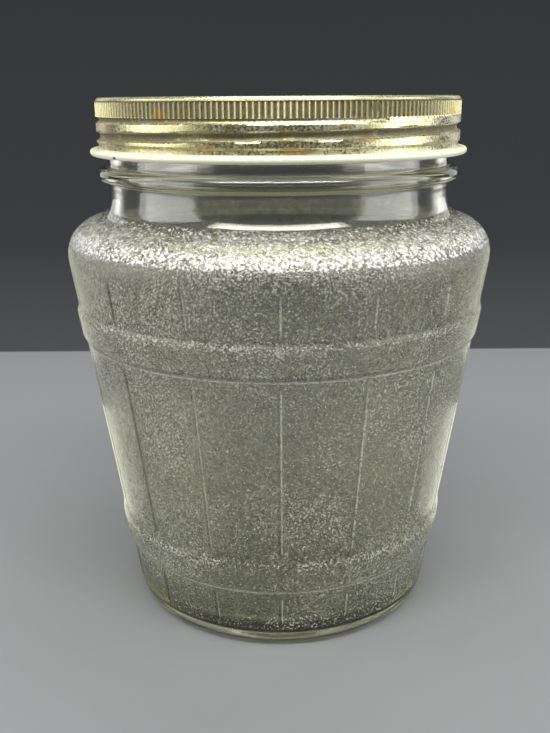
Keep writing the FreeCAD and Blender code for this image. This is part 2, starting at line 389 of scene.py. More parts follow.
class Turning:
    """Geometry nodes that turn an outline about the axis and press a relief into it.

    A spot is the radius, height, turn, angle and weights of a point, as fields. angle
    gives where a column stands, and relief how far a point moves in towards the axis.
    """

    def __init__(self, name, weights):
        self.tree = bpy.data.node_groups.new(name, "GeometryNodeTree")
        self.weights = weights
        self.values = {}
        self.socket("Outline", "NodeSocketGeometry", None)
        self.tree.interface.new_socket("Geometry", in_out="OUTPUT",
                                       socket_type="NodeSocketGeometry")

    def socket(self, name, kind, value):
        made = self.tree.interface.new_socket(name, in_out="INPUT", socket_type=kind)
        if value is not None:
            self.values[made.identifier] = value

    def numbers(self, values):
        """Named inputs, whole where the value is."""
        for name, value in values.items():
            kind = "NodeSocketInt" if isinstance(value, int) else "NodeSocketFloat"
            self.socket(name, kind, value)

    def finishes(self, ripple, ripple_size, seed, material, inside_material=None):
        """The inputs for the unevenness, the sharp edges and the materials."""
        self.numbers({"Ripple": ripple, "Ripple Size": ripple_size, "Seed": float(seed),
                      "Sharp Angle": SHARP_ANGLE})
        self.socket("Material", "NodeSocketMaterial", material)
        if inside_material:
            self.socket("Inside Material", "NodeSocketMaterial", inside_material)

    def given(self):
        """The inputs by name: numbers as fields, the others as sockets."""
        entry = node(self.tree, "NodeGroupInput")
        plain = ("GEOMETRY", "MATERIAL")
        return {output.name: output if output.type in plain else Field(self.tree, output)
                for output in entry.outputs if output.name}

    def weight(self, name):
        """A weight that the outline or the mesh carries."""
        made = node(self.tree, "GeometryNodeInputNamedAttribute", {"Name": name},
                    data_type="FLOAT")
        return Field(self.tree, made.outputs["Attribute"])

    def sample(self, outline, value, row, data_type):
        """A value at a point of the outline."""
        made = node(self.tree, "GeometryNodeSampleIndex",
                    {"Geometry": outline, "Value": value, "Index": row},
                    data_type=data_type, domain="POINT")
        return made.outputs["Value"]

    def stored(self, geometry, name, value):
        """The geometry with a value kept on its points."""
        made = node(self.tree, "GeometryNodeStoreNamedAttribute",
                    {"Geometry": geometry, "Name": name, "Value": value},
                    data_type="FLOAT", domain="POINT")
        return made.outputs["Geometry"]

    def build(self, angle, relief, inside=None):
        """The whole tree; inside names the weight of the faces in the second material."""
        tree = self.tree
        given = self.given()
        outline = given["Outline"]
        size = node(tree, "GeometryNodeAttributeDomainSize", {"Geometry": outline})
        rows = Field(tree, size.outputs["Point Count"])
        columns = given["Columns"]
        grid = node(tree, "GeometryNodeMeshGrid", {"Vertices X": columns + 1, "Vertices Y": rows})
        index = Field(tree, node(tree, "GeometryNodeInputIndex").outputs[0])
        column = ((index + 0.5) / rows).floor()
        row = index - column * rows
        place = node(tree, "GeometryNodeInputPosition").outputs[0]
        radius, _, height = parts_of(tree, self.sample(outline, place, row, "FLOAT_VECTOR"))
        spot = {"radius": radius, "height": height, "turn": column / columns}
        spot["angle"] = angle(given, spot)
        surface = grid.outputs["Mesh"]
        for name in self.weights:
            spot[name] = Field(tree, self.sample(outline, self.weight(name), row, "FLOAT"))
            surface = self.stored(surface, name, spot[name])
        inward = relief(given, spot)
        surface = self.stored(surface, "pressed", inward)
        out = radius - inward
        position = vector_of(tree, out * spot["angle"].cos(), out * spot["angle"].sin(), height)
        placed = node(tree, "GeometryNodeSetPosition", {"Geometry": surface, "Position": position})
        merged = node(tree, "GeometryNodeMergeByDistance",
                      {"Geometry": placed.outputs[0], "Distance": MERGE_DISTANCE})
        shaded = self.shaded(self.rippled(merged.outputs[0], given), given)
        leave = node(tree, "NodeGroupOutput")
        tree.links.new(self.dressed(shaded, given, inside), leave.inputs["Geometry"])

    def rippled(self, geometry, given):
        """Moves the surface a little along its normal where the ripple weight says so."""
        tree = self.tree
        place = node(tree, "GeometryNodeInputPosition").outputs[0]
        noise = node(tree, "ShaderNodeTexNoise",
                     {"Vector": place, "W": given["Seed"], "Scale": 1.0 / given["Ripple Size"],
                      "Detail": 1.0}, noise_dimensions="4D")
        wave = (Field(tree, noise.outputs[0]) - 0.5) * given["Ripple"] * 2.0
        normal = node(tree, "GeometryNodeInputNormal").outputs[0]
        offset = node(tree, "ShaderNodeVectorMath",
                      {0: normal, "Scale": wave * self.weight("ripple")}, operation="SCALE")
        return node(tree, "GeometryNodeSetPosition",
                    {"Geometry": geometry, "Offset": offset.outputs[0]}).outputs[0]

    def shaded(self, geometry, given):
        """Smooth shading, but for the folds sharper than the sharp angle."""
        tree = self.tree
        smooth = node(tree, "GeometryNodeSetShadeSmooth", {"Geometry": geometry})
        fold = node(tree, "GeometryNodeInputMeshEdgeAngle").outputs["Unsigned Angle"]
        sharp = Field(tree, fold).above(given["Sharp Angle"])
        return node(tree, "GeometryNodeSetShadeSmooth",
                    {"Geometry": smooth.outputs[0], "Selection": sharp, "Shade Smooth": False},
                    domain="EDGE").outputs[0]

    def dressed(self, geometry, given, inside):
        """The real mesh with its material, and the second one inside."""
        real = node(self.tree, "GeometryNodeRealizeInstances", {"Geometry": geometry})
        made = node(self.tree, "GeometryNodeSetMaterial",
                    {"Geometry": real.outputs[0], "Material": given["Material"]})
        if inside:
            made = node(self.tree, "GeometryNodeSetMaterial",
                        {"Geometry": made.outputs[0], "Selection": self.weight(inside).above(0.5),
                         "Material": given["Inside Material"]})
        return made.outputs[0]

    def turned(self, name, outline):
        """The finished piece as a plain mesh, with nothing left live on it."""
        holder = outline_object(name + "_outline", outline, self.weights)
        modifier = holder.modifiers.new(name, "NODES")
        modifier.node_group = self.tree
        for identifier, value in self.values.items():
            modifier[identifier] = value
        graph = bpy.context.evaluated_depsgraph_get()
        mesh = bpy.data.meshes.new_from_object(holder.evaluated_get(graph))
        mesh.name = name
        chain = holder.data
        bpy.data.objects.remove(holder)
        bpy.data.meshes.remove(chain)
        piece = bpy.data.objects.new(name, mesh)
        bpy.context.collection.objects.link(piece)
        if not mesh.polygons:
            raise RuntimeError(name + " came out empty")
        return piece


# ---------------------------------------------------------------- jar
GROOVE_FADE = 1.6 * MM          # a groove between staves runs out over this height
THREAD_ROOT = 0.12 * MM         # width of the glass thread's soft foot
THREAD_ENDS = (0.02, 0.98)      # shares of its turn where it has risen, and starts to fall
COLUMNS_PER_STAVE = 20
COLUMN_DRAW = 0.85              # how strongly columns gather at the grooves, below 1


def side_radius(p, height):
    """Outside of the straight side, hoops left out."""
    corner_height = JAR_HIGH.z - p.shoulder_drop
    return p.base_corner + (p.shoulder_corner - p.base_corner) * height / corner_height


def shoulder_height(p, radius):
    """Height of the shoulder's sloped top at a radius."""
    return JAR_HIGH.z - p.shoulder_drop + (p.shoulder_corner - radius) * math.tan(p.shoulder_angle)


def hoop_corners(p, low):
    """A hoop that stands out of the side, from its lower edge up."""
    high = low + p.hoop_height
    crest_low = low + p.hoop_edge
    crest_high = high - p.hoop_edge
    return [
        (side_radius(p, low), low, p.hoop_fillet, 1, "outside"),
        (side_radius(p, crest_low) + p.hoop_rise, crest_low, p.hoop_fillet, 2, "outside"),
        (side_radius(p, crest_high) + p.hoop_rise, crest_high, p.hoop_fillet, 1, "outside"),
        (side_radius(p, high), high, p.hoop_fillet, 1.6, "outside"),
    ]


def outer_corners(p):
    """From the middle of the base, up the outside and over the rim."""
    rim = JAR_HIGH.z
    corner_height = rim - p.shoulder_drop
    side_angle = math.atan((p.shoulder_corner - p.base_corner) / corner_height)
    foot = p.base_corner - p.heel_fillet * math.tan(math.pi / 4 - side_angle / 2)
    recess = foot - p.foot_width
    bead = p.neck + p.bead_rise
    bead_low = rim - p.bead_drop - p.bead_height / 2
    bead_high = bead_low + p.bead_height
    return [
        (0, p.push_up + p.push_up_dome, 0, 7, "under"),
        (recess - p.push_up_slope, p.push_up, p.push_up_slope, 1, "under"),
        (recess, 0, p.foot_inner_fillet, 1.5, "under"),
        (p.base_corner, 0, p.heel_fillet, 1.6, "outside"),
        *hoop_corners(p, p.lower_hoop),
        *hoop_corners(p, corner_height - p.upper_hoop_drop),
        (p.shoulder_corner, corner_height, p.shoulder_fillet, 1.6, "outside"),
        (p.neck, shoulder_height(p, p.neck), p.neck_fillet, 1.5, "outside"),
        (p.neck, bead_low, p.bead_root, 0.6, "outside"),
        (bead, bead_low, p.bead_fillet, 0.6, "outside"),
        (bead, bead_high, p.bead_fillet, 0.6, "outside"),
        (p.neck, bead_high, p.bead_root, 0.45, "thread"),
        (p.neck, rim, p.rim_fillet, 0.6, "rim"),
        (p.neck - p.neck_wall, rim, p.rim_fillet, 2.5, "inside"),
    ]


def inner_corners(p):
    """From the mouth down to the middle of the floor inside, one wall in from the outside."""
    mouth = p.neck - p.neck_wall
    slope = (p.shoulder_corner - p.base_corner) / (JAR_HIGH.z - p.shoulder_drop)
    top_slope = math.tan(p.shoulder_angle)
    side_shift = p.wall / math.cos(math.atan(slope))
    axis_height = shoulder_height(p, 0) - p.wall / math.cos(p.shoulder_angle)
    corner = (p.base_corner - side_shift + slope * axis_height) / (1 + slope * top_slope)
    floor = p.push_up + p.base_thickness
    return [
        (mouth, axis_height - top_slope * mouth, p.neck_fillet + p.wall, 2.5, "inside"),
        (corner, axis_height - top_slope * corner, p.shoulder_fillet - p.wall, 4, "inside"),
        (side_radius(p, floor) - side_shift, floor, p.inner_heel_fillet, 5, "inside"),
        (0, floor + p.push_up_dome, 0, 5, "inside"),
    ]


def stave_weight(p, height):
    """1 along the grooves between staves, 0 across hoops, heel and shoulder."""
    corner_height = JAR_HIGH.z - p.shoulder_drop
    upper_hoop = corner_height - p.upper_hoop_drop
    belts = [
        (p.heel_fillet + p.groove_bottom, p.lower_hoop - p.groove_margin),
        (p.lower_hoop + p.hoop_height + p.groove_margin, upper_hoop - p.groove_margin),
        (upper_hoop + p.hoop_height + p.groove_margin, corner_height - p.groove_top),
    ]
    weights = [min(1.0, (height - low) / GROOVE_FADE, (high - height) / GROOVE_FADE)
               for low, high in belts]
    return max(0.0, *weights)


def jar_relief(given, spot):
    """Grooves between the staves pressed in, and the thread left standing out."""
    across = (spot["angle"] / TURN + 0.25) * given["Staves"]
    aside = ((across + 0.5).wrapped(1.0) - 0.5).abs() * spot["radius"] * TURN / given["Staves"]
    shape = 1.0 - aside.ramp(0.0, given["Groove Width"] / 2)
    groove = shape * given["Groove Depth"] * spot["stave"]
    turn = ((given["Thread Angle"] - spot["angle"]) / TURN - 0.25).wrapped(1.0)
    middle = given["Thread High"] - given["Thread Pitch"] * turn
    apart = (spot["height"] - middle).abs()
    section = given["Thread Section"]
    round_part = (section * section - apart * apart).most(0.0).sqrt()
    within = (section - apart).ramp(0.0, THREAD_ROOT)
    ends = turn.band((0.0, THREAD_ENDS[0]), (THREAD_ENDS[1], 1.0))
    ridge = (given["Thread Rise"] - section + round_part) * within * ends * spot["thread"]
    return groove - ridge


def stave_angle(given, spot):
    """Columns drawn together at the grooves between the staves."""
    stave = spot["turn"] * given["Staves"]
    drawn = stave - (stave * TURN).sin() * (COLUMN_DRAW / TURN)
    return drawn * TURN / given["Staves"] - math.pi / 2


class JAR_OT_glass(bpy.types.Operator):
    """Makes the glass jar with its hoops, staves, bead and thread"""
    bl_idname = "jar.glass"
    bl_label = "Glass jar"

    def execute(self, context):
        p = context.scene.jar_glass
        outline = Outline(outer_corners(p) + inner_corners(p)).points()
        weights = {
            "stave": [stave_weight(p, point.z) if kind == "outside" else 0.0
                      for point, kind in outline],
            "thread": [float(kind == "thread") for _, kind in outline],
            "ripple": [float(kind == "inside") for _, kind in outline],
        }
        turning = Turning("Turned glass", weights)
        turning.numbers({
            "Columns": COLUMNS_PER_STAVE * p.staves,
            "Staves": p.staves,
            "Groove Depth": p.groove_depth,
            "Groove Width": p.groove_width,
            "Thread Angle": p.thread_angle,
            "Thread High": JAR_HIGH.z - p.thread_drop,
            "Thread Pitch": p.thread_pitch,
            "Thread Rise": p.thread_rise,
            "Thread Section": p.thread_section,
        })
        turning.finishes(p.ripple, p.ripple_size, p.seed, glass_material(p))
        turning.build(stave_angle, jar_relief)
        piece = turning.turned("jar_glass", outline)
        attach(piece, "root")
        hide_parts("jar")
        return {"FINISHED"}


# ---------------------------------------------------------------- lid
PANEL_FILLET = 0.6 * MM         # rounding of the sunken panel's slope
FLUTE_HEAD = 0.9 * MM           # height over which the flutes run out at the top
BAND_EDGE = 0.15 * MM           # edge of the knurled band
TOP_SOFTER = 0.05 * MM          # the top edge's rounding ends short of the panel
CURL_SOFTER = 0.01 * MM         # the same, between the two roundings of the rolled edge
FLUTE_TOP_GAP = 0.1 * MM        # plain metal above the flutes
LEAST_WIDTH = 0.001             # keeps the closed end of a flute from dividing by zero
GROOVE_RISE = 0.012             # angle over which the thread's groove starts
GROOVE_FALL = 0.05              # angle over which it ends
COLUMNS_PER_FLUTE = 4
CURL_COLUMNS = 360
PANEL_RIPPLE = (*mm(0.05, 30), 3)       # unevenness of the panel: depth, width and seed
CURL_RIPPLE = (*mm(0.03, 12), 5)        # the same, for the rolled edge


def lid_corners(p):
    """The lid's sheet: out along the underside, down inside, and back up the outside."""
    top = LID_HIGH.z
    skirt = LID_HIGH.x - p.skirt_inset
    lower_skirt = skirt - p.step_inset
    edge = skirt - p.edge_inset
    panel = LID_HIGH.x - p.panel_inset
    band_high = top - p.band_drop
    band_low = band_high - p.band_height
    step = LID_LOW.z + p.step_height
    step_low = step - p.skirt_fillet * 2
    low = LID_LOW.z + p.curl_thickness + p.skirt_fillet
    under = top - p.sheet
    above = top - p.top_room
    return [
        (0, under - p.panel_recess, 0, 9, "inside"),
        (panel, under - p.panel_recess, PANEL_FILLET, 1.2, "inside"),
        (panel + p.panel_slope, under, PANEL_FILLET, 3, "inside"),
        (edge - p.sheet, under, p.edge_fillet - p.sheet, 0.8, "inside"),
        (edge - p.sheet, band_low - p.sheet, 0, 0.8, "inside"),
        (skirt - p.sheet, band_low - p.sheet, 0, 0.8, "inside"),
        (skirt - p.sheet, step, p.skirt_fillet, 0.4, "inside_low"),
        (lower_skirt - p.sheet, step_low, p.skirt_fillet, 1, "inside_low"),
        (lower_skirt - p.sheet, low, 0, 1, "end"),
        (lower_skirt, low, 0, 0.8, "lower_skirt"),
        (lower_skirt, step_low, p.skirt_fillet, 0.3, "lower_skirt"),
        (skirt, step, p.skirt_fillet, 0.3, "skirt"),
        (skirt, band_low - BAND_EDGE, 0, 0.15, "band"),
        (skirt, band_low, 0, 0.7, "band"),
        (skirt, band_high - FLUTE_HEAD, 0, 0.15, "band"),
        (skirt, band_high, BAND_EDGE, 0.3, "band_head"),
        (edge, band_high, 0, 0.3, "edge"),
        (edge, above, p.edge_fillet - TOP_SOFTER, 3, "edge"),
        (panel + p.panel_slope, above, PANEL_FILLET, 1.2, "panel"),
        (panel, top - p.panel_recess, PANEL_FILLET, 9, "panel"),
        (0, top - p.panel_recess, 0, 9, "panel"),
    ]


def curl_corners(p):
    """Foot of the skirt: the sheet turns outward, up and back in, round a hollow."""
    edge = LID_HIGH.x
    low = LID_LOW.z
    lower_skirt = edge - p.skirt_inset - p.step_inset
    inside = lower_skirt - p.sheet
    end = lower_skirt + p.curl_slit
    high = low + p.curl_thickness
    top = high + p.skirt_fillet
    turn = p.curl_thickness / 2 - CURL_SOFTER
    return [
        (inside, top, 0, 0.5, "curl"),
        (inside, low, turn, 0.7, "curl"),
        (edge, low, turn, 1, "curl"),
        (edge, high, turn, 0.7, "curl"),
        (end, high, 0, 1, "curl"),
        (end, high - p.sheet, 0, 1, "curl"),
        (edge - p.sheet, high - p.sheet, turn - p.sheet, 1, "curl"),
        (edge - p.sheet, low + p.sheet, turn - p.sheet, 1, "curl"),
        (lower_skirt, low + p.sheet, 0, 0.5, "curl"),
        (lower_skirt, top, 0, 1, "curl"),
        (inside, top, 0, 1, "curl"),
    ]


def even_angle(given, spot):
    """Columns evenly spaced, from the front."""
    return spot["turn"] * TURN - math.pi / 2


def thread_groove(given, spot, lap):
    """Depth of one lap of the rolled thread at a point of the skirt."""
    turn = (given["Thread Angle"] - spot["angle"] - math.pi / 2).wrapped(TURN) + lap * TURN
    fall = (turn - given["Lead In"]).most(0.0)
    grown = (turn / given["Lead In"]).least(1.0)
    depth = given["Groove Start"] + (given["Groove Depth"] - given["Groove Start"]) * grown
    apart = spot["height"] - given["Thread High"] + given["Thread Pitch"] * fall / TURN
    section = given["Groove Section"] + given["Sheet"] * spot["inner"]
    round_part = (section * section - apart * apart).most(0.0).sqrt()
    end = given["Thread Turn"]
    ends = turn.band((0.0, GROOVE_RISE), (end - GROOVE_FALL, end))
    return (depth - section + round_part).most(0.0) * ends


def lid_relief(given, spot):
    """Flutes of the knurled band, and the thread rolled into the skirt."""
    across = ((spot["angle"] / TURN + 0.25) * given["Flutes"]).wrapped(1.0)
    aside = (across - 0.5).abs() * 2.0
    half = spot["radius"] * math.pi / given["Flutes"]
    into_end = ((spot["height"] - given["Flute Top"] + half) / half).most(0.0).least(1.0)
    wide = (1.0 - into_end * into_end).most(LEAST_WIDTH).sqrt()
    share = aside / wide
    flute = (1.0 - share * share).most(0.0) * given["Flute Depth"] * spot["flute"]
    groove = thread_groove(given, spot, 0).most(thread_groove(given, spot, 1)) * spot["groove"]
    return flute + groove


def plain_relief(given, spot):
    """No relief."""
    return spot["radius"] * 0.0


class JAR_OT_lid(bpy.types.Operator):
    """Makes the lid's sheet with its knurled band and rolled thread"""
    bl_idname = "jar.lid"
    bl_label = "Lid"

    def execute(self, context):
        p = context.scene.jar_lid
        outline = Outline(lid_corners(p), arc_step=22.5).points()
        inner = ("inside", "inside_low")
        weights = {
            "inner": [float(kind in inner) for _, kind in outline],
            "groove": [float(kind in ("skirt", "lower_skirt") + inner) for _, kind in outline],
            "flute": [float(kind == "band") for _, kind in outline],
            "ripple": [float(kind == "panel") for _, kind in outline],
        }
        top = LID_HIGH.z
        step = LID_LOW.z + p.step_height
        fall = (top - p.thread_drop - step - p.thread_end) / p.pitch * TURN
        turning = Turning("Pressed lid", weights)
        turning.numbers({
            "Columns": COLUMNS_PER_FLUTE * p.flutes,
            "Flutes": p.flutes,
            "Flute Depth": p.flute_depth,
            "Flute Top": top - p.band_drop - FLUTE_TOP_GAP,
            "Thread Angle": p.thread_angle,
            "Thread High": top - p.thread_drop,
            "Thread Pitch": p.pitch,
            "Thread Turn": p.lead_in + fall,
            "Lead In": p.lead_in,
            "Groove Section": p.groove_section,
            "Groove Depth": p.groove_depth,
            "Groove Start": p.groove_start,
            "Sheet": p.sheet,
        })
        turning.finishes(*PANEL_RIPPLE, metal_material(p), enamel_material(p))
        turning.build(even_angle, lid_relief, "inner")
        piece = turning.turned("lid_sheet", outline)
        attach(piece, "root")
        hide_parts("lid")
        return {"FINISHED"}


class JAR_OT_curl(bpy.types.Operator):
    """Makes the rolled edge of the lid"""
    bl_idname = "jar.curl"
    bl_label = "Rolled edge"

    def execute(self, context):
        p = context.scene.jar_lid
        outline = Outline(curl_corners(p)).points()
        turning = Turning("Rolled edge", {"ripple": [1.0 for _ in outline]})
        turning.numbers({"Columns": CURL_COLUMNS})
        turning.finishes(*CURL_RIPPLE, enamel_material(p))
        turning.build(even_angle, plain_relief)
        piece = turning.turned("lid_rolled_edge", outline)
        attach(piece, "root")
        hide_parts("lid")
        return {"FINISHED"}


# ---------------------------------------------------------------- materials
def new_material(name):
    """A material with an empty tree and its output node."""
    material = bpy.data.materials.new(name)
    material.use_nodes = True
    tree = material.node_tree
    tree.nodes.clear()
    return material, tree, node(tree, "ShaderNodeOutputMaterial")


def place_of(tree):
    return node(tree, "ShaderNodeTexCoord").outputs["Object"]


def noise(tree, place, scale, detail, roughness, distortion=0.0):
    """A noise pattern; its scale is in features per metre."""
    made = node(tree, "ShaderNodeTexNoise",
                {"Vector": place, "Scale": scale, "Detail": detail,
                 "Roughness": roughness, "Distortion": distortion})
    return Field(tree, made.outputs[0])


def mixed(tree, amount, first, second):
    """Colour that goes from first to second with amount."""
    made = node(tree, "ShaderNodeMix", data_type="RGBA")
    for name, value in (("Factor", amount), ("A", first), ("B", second)):
        feed(tree, value, made.inputs[name])
    return made.outputs["Result"]


def bumped(tree, height, distance, strength=1.0, normal=None):
    """A normal with relief of some distance, on top of another one if given."""
    made = node(tree, "ShaderNodeBump",
                {"Height": height, "Distance": distance, "Strength": strength})
    if normal:
        tree.links.new(normal, made.inputs["Normal"])
    return made.outputs[0]


def carried(tree, name):
    """A value that the mesh carries on its points."""
    return Field(tree, node(tree, "ShaderNodeAttribute", attribute_name=name).outputs["Fac"])


def finished(tree, leave, inputs):
    """The surface of a material."""
    surface = node(tree, "ShaderNodeBsdfPrincipled", inputs)
    tree.links.new(surface.outputs[0], leave.inputs["Surface"])


# ---------------------------------------------------------------- glass
GLASS_IOR = 1.5
GLASS_ROUGHNESS = 0.085
# what the glass leaves of the light that passes neck, body and foot; the foot's lighter, greener
# colour is a painted glow, the drops' white is under painted glints, and the two greys are painted
# shade in hollows and on groove flanks
NECK_CLEAR = (1.0, 1.0, 0.99, 1.0)
BODY_CLEAR = (0.90, 0.90, 0.845, 1.0)
FOOT_GLOW_CLEAR = (0.93, 0.94, 0.86, 1.0)
DROP_GLINT_CLEAR = (1.0, 1.0, 1.0, 1.0)
HOLLOW_SHADE_GREY = (0.36, 0.36, 0.31, 1.0)
FLANK_SHADE_GREY = (0.30, 0.30, 0.26, 1.0)
FOOT_ZONE = mm(25, 55)
BELT_LOW_EDGE, BELT_HIGH_EDGE = mm(0.5, 0.6)    # half width of the pebbled belt's edges
# noise patterns: detail, roughness and distortion of the pebbles, of the painted glint drops, and
# whole patches
PEBBLE_GRAIN = (1.0, 0.5, 0.4)
DROP_GRAIN = (1.0, 0.5, 0.3)
GLASS_PATCHES = (34.0, 2.0, 0.6)
# spans of noise from none to full: pebble relief, painted glint on crests, painted shade in
# hollows, painted highlight on flanks, painted glint drops, and patches of more glints
PEBBLE_SPAN = (0.28, 0.72)
CREST_SPAN = (0.645, 0.685)
HOLLOW_SPAN = (0.36, 0.50)
FLANK_SPAN = (0.25, 0.58)
DROP_SPAN = (0.604, 0.632)
PATCH_SPAN = (0.38, 0.62)
# how far patches, hoop edges and the shoulder's corner bring more painted glints on crests or
# drops; the drops along the corner are a painted band of reflected light
PATCH_GAIN, PATCH_SHIFT, EDGE_GAIN, CORNER_GAIN = 0.07, 0.02, 0.07, 0.085
# painted glints and highlight: share of white that crests, lit groove flanks and drops show
# instead of letting light through
CREST_GLINT_WHITE, FLANK_HIGHLIGHT_WHITE, DROP_GLINT_WHITE = 0.48, 0.40, 0.80
# painted shade: how strongly hollows are greyed, how much more on the shoulder, and shaded flanks
HOLLOW_SHADE, SHOULDER_SHADE, FLANK_SHADE = 0.50, 0.15, 0.65
# across a groove between staves, from its middle: painted highlight on one flank, painted shade on
# the other, and the middle without painted glints or shade
HIGHLIGHT_FLANK = (mm(-0.05, 0.1), mm(0.45, 0.65))
SHADED_FLANK = (mm(-0.75, -0.55), mm(-0.15, 0.0))
GROOVE_SMOOTH = mm(0.7, 1.2)
# along a hoop: full and outer half width of each line: gathering painted glints, painted
# highlight, no painted marks, painted shade below and above
GLINT_LINE, HIGHLIGHT_LINE, SMOOTH_LINE = mm(0.6, 2.2), mm(0.15, 0.45), mm(0.4, 0.9)
LOWER_SHADE_LINE, UPPER_SHADE_LINE = mm(0.3, 0.8), mm(0.3, 0.9)
# strength of the painted shade lines, and how far the painted highlight line sits below a hoop and
# the lower painted shade line above it
LOWER_SHADE, UPPER_SHADE = 0.7, 0.6
HIGHLIGHT_LINE_DROP, LOWER_SHADE_RISE = mm(0.2, 1.1)
# about the shoulder's corner: start of the painted glint drops, end of the band where more of them
# stand, and where painted crest glints gather
SHOULDER_START = mm(-5.2, -3.8)
CORNER_END = mm(-1.0, 0.2)
SHOULDER_GLINTS = mm(-8, -5)
SHOULDER_GLINT_SHARE = 0.3


def pebble_belt(p, height):
    """1 where the glass is pebbled, with soft edges above the heel and below the neck."""
    low = p.pebble_low
    high = JAR_HIGH.z - p.pebble_drop
    return height.band((low - BELT_LOW_EDGE, low + BELT_LOW_EDGE),
                       (high - BELT_HIGH_EDGE, high + BELT_HIGH_EDGE))


def groove_marks(tree, p, x, y):
    """The painted highlight and painted shade on the grooves' flanks, and their middle without
    painted marks.
    """
    around = turned_from_front(x, y) * (p.staves / TURN)
    radius = (x * x + y * y).sqrt()
    aside = ((around + 0.5).wrapped(1.0) - 0.5) * radius * (TURN / p.staves)
    stave = carried(tree, "stave")
    return (aside.band(*HIGHLIGHT_FLANK) * stave, aside.band(*SHADED_FLANK) * stave,
            aside.near(0.0, *GROOVE_SMOOTH) * stave)


def hoop_marks(p, height, highlight, shaded, smooth):
    """Those marks with the painted highlight and shade lines of the hoops added, and where painted
    glints gather.
    """
    corner_height = JAR_HIGH.z - p.shoulder_drop
    # painted glints gather from just below the shoulder's corner upward
    glint_gathering = (height - corner_height).ramp(*SHOULDER_GLINTS) * SHOULDER_GLINT_SHARE
    for low in (p.lower_hoop, corner_height - p.upper_hoop_drop):
        high = low + p.hoop_height
        # painted glints gather along each sloped edge
        for line in (low + p.hoop_edge / 2, high - p.hoop_edge / 2):
            glint_gathering = glint_gathering.most(height.near(line, *GLINT_LINE))
        # painted highlight line just under each hoop
        highlight = highlight.most(height.near(low - HIGHLIGHT_LINE_DROP, *HIGHLIGHT_LINE))
        smooth = smooth.most(height.near(low, *SMOOTH_LINE))
        # painted shade lines: just above the hoop's foot and along its top edge
        under = height.near(low + LOWER_SHADE_RISE, *LOWER_SHADE_LINE) * LOWER_SHADE
        over = height.near(high, *UPPER_SHADE_LINE) * UPPER_SHADE
        shaded = shaded.most(under).most(over)
    return highlight, shaded, smooth, glint_gathering


def glass_material(p):
    """Clear soda-lime glass, pebbled between the heel and the neck.

    Painted glints: crests take a little white instead of letting light through, and
    painted shade greys the hollows, so that the pebbles also read in soft light. Larger
    painted glint drops stand on the shoulder; painted highlight and shade lines run along
    the grooves and hoops, and a painted glow lightens the glass near the foot.
    """
    material, tree, leave = new_material("Pebbled glass")
    place = place_of(tree)
    x, y, height = parts_of(tree, place)
    belt = pebble_belt(p, height)
    marks = groove_marks(tree, p, x, y)
    highlight, shaded, smooth, glint_gathering = hoop_marks(p, height, *marks)
    pebbles = noise(tree, place, 1.0 / p.pebble_size, *PEBBLE_GRAIN)
    pebbled = belt * (1.0 - smooth)
    # more painted glints in random patches and where they gather along hoops and shoulder
    patch = noise(tree, place, *GLASS_PATCHES).ramp(*PATCH_SPAN) * PATCH_GAIN - PATCH_SHIFT
    more = patch + glint_gathering * EDGE_GAIN
    # where painted glints go on the pebbles' crests
    crest = pebbles.ramp(CREST_SPAN[0] - more, CREST_SPAN[1] - more) * pebbled
    # where painted shade greys the pebbles' hollows
    hollow = (1.0 - pebbles.ramp(*HOLLOW_SPAN)) * pebbled
    # painted glint drops on the shoulder, more of them in a painted band of reflected light at its
    # corner
    above = height - (JAR_HIGH.z - p.shoulder_drop)
    shoulder = above.ramp(*SHOULDER_START)
    glint_band = shoulder * (1.0 - above.ramp(*CORNER_END)) * CORNER_GAIN
    drops = noise(tree, place, 1.0 / p.glint_drop_size, *DROP_GRAIN)
    drop = drops.ramp(DROP_SPAN[0] - glint_band, DROP_SPAN[1] - glint_band) * shoulder * belt
    # painted highlight on one flank of each groove and along the hoops, broken up by the pebbles
    flank = highlight * pebbles.ramp(*FLANK_SPAN)
    # share of the surface that shows painted glints and highlight instead of letting light through
    painted_glints = (crest * CREST_GLINT_WHITE).most(flank * FLANK_HIGHLIGHT_WHITE).most(drop * DROP_GLINT_WHITE)
    # base colour: the glass's tint, with painted glow, glints and shade mixed in
    clear = mixed(tree, belt, NECK_CLEAR, BODY_CLEAR)
    # painted glow: lighter, greener glass near the foot
    clear = mixed(tree, (1.0 - height.ramp(*FOOT_ZONE)) * belt, clear, FOOT_GLOW_CLEAR)
    # painted glints: the drops turn white
    clear = mixed(tree, drop, clear, DROP_GLINT_CLEAR)
    # painted shade in the hollows, stronger on the shoulder
    painted_hollow_shade = hollow * (1.0 - drop) * (HOLLOW_SHADE + shoulder * SHOULDER_SHADE)
    clear = mixed(tree, painted_hollow_shade, clear, HOLLOW_SHADE_GREY)
    # painted shade on one flank of each groove and along the hoops
    clear = mixed(tree, shaded * FLANK_SHADE, clear, FLANK_SHADE_GREY)
    finished(tree, leave, {
        "Base Color": clear, "Roughness": GLASS_ROUGHNESS, "IOR": GLASS_IOR,
        "Transmission Weight": 1.0 - painted_glints,
        "Normal": bumped(tree, pebbles.ramp(*PEBBLE_SPAN) * belt, p.pebble_depth)})
    depth = node(tree, "ShaderNodeVolumeAbsorption",
                 {"Color": tuple(p.tint), "Density": p.tint_density})
    tree.links.new(depth.outputs[0], leave.inputs["Volume"])
    return material


